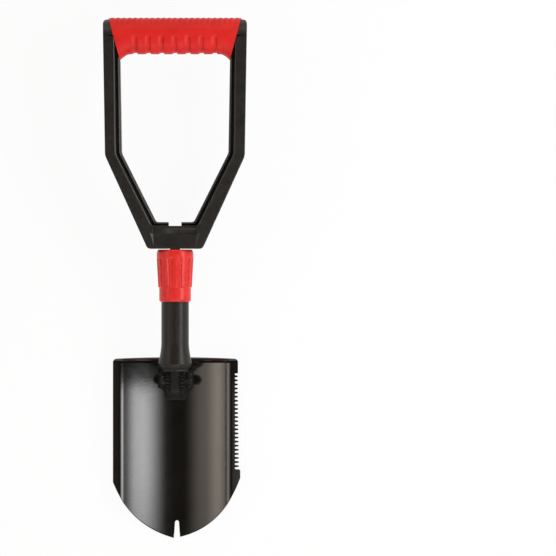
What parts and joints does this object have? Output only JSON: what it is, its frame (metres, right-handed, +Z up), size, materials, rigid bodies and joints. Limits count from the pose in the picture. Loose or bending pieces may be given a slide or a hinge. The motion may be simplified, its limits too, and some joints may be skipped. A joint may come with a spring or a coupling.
{
  "type": "folding camp shovel",
  "caption": "Tri-fold camp shovel: ribbed D-handle with a soft grip, ribbed locking collar, flared sleeve, toothed hinge and a dished steel blade with a saw edge and a notched tip.",
  "frame": {"origin": "on the ground, under the middle of the opened shovel as it lies on its back", "axes": "+Y along the shovel towards the grip, +X across the blade towards its saw edge, +Z up, out of the scoop"},
  "size_m": [0.1648, 0.596, 0.0792],
  "materials": {
    "black_plastic": "fine-grained moulded black plastic",
    "grip_red": "satin red moulded grip",
    "collar_red": "semi-gloss red moulded plastic",
    "blade_black": "glossy black coating on steel",
    "hinge_black": "satin black coating on steel",
    "steel": "darkened zinc",
    "aluminium": "plain drawn aluminium",
    "bush_plastic": "natural bearing plastic"
  },
  "bodies": {
    "shaft": {"core_tube": "aluminium", "handle_eye": "steel", "blade_eye": "hinge_black", "handle_eye_pin": "steel", "blade_eye_pin": "steel", "handle_eye_bush": "bush_plastic", "blade_eye_bush": "bush_plastic", "upper_guide_bush": "bush_plastic", "lower_guide_bush": "bush_plastic", "collar_ring": "steel"},
    "sleeve": {"shaft_sleeve": "black_plastic"},
    "collar": {"lock_collar": "collar_red", "thread_insert": "aluminium"},
    "handle_pin": {"handle_pivot_bolt": "steel", "handle_pivot_nut": "steel", "handle_washer_left": "steel", "handle_washer_right": "steel", "friction_washer_left": "bush_plastic", "friction_washer_right": "bush_plastic"},
    "handle": {"handle_frame": "black_plastic", "grip_sleeve": "grip_red"},
    "blade": {"blade": "blade_black", "hinge_bracket": "hinge_black", "rivet_upper_left": "hinge_black", "rivet_upper_right": "hinge_black", "rivet_lower_left": "hinge_black", "rivet_lower_right": "hinge_black", "blade_pivot_bolt": "steel", "blade_pivot_nut": "steel", "blade_washer_left": "steel", "blade_washer_right": "steel"}
  },
  "joints": [
    {"name": "handle_nest", "type": "hinge", "parent": "shaft", "child": "handle_pin", "pos_m": [0, 0.04936, 0.04868], "axis": [-1, 0, 0], "range_deg": [0, 30]},
    {"name": "handle_fold", "type": "hinge", "parent": "handle_pin", "child": "handle", "pos_m": [0, 0.04936, 0.04868], "axis": [-1, 0, 0], "range_deg": [0, 150]},
    {"name": "blade_fold", "type": "hinge", "parent": "shaft", "child": "blade", "pos_m": [0, -0.11813, 0.0402], "axis": [-1, 0, 0], "range_deg": [0, 180]},
    {"name": "collar_turn", "type": "hinge", "parent": "shaft", "child": "collar", "pos_m": [0, 0.04936, 0.04868], "axis": [0, 0.9987, 0.0505], "range_deg": [0, 270]},
    {"name": "sleeve_slide", "type": "slide", "parent": "shaft", "child": "sleeve", "axis": [0, 0.9987, 0.0505], "range_m": [0, 0.003]}
  ],
  "couplings": [
    {"joint": "sleeve_slide", "follows": "collar_turn", "m_per_rad": 0.000636},
    {"joint": "handle_nest", "follows": "blade_fold", "ratio": 0.1666}
  ]
}
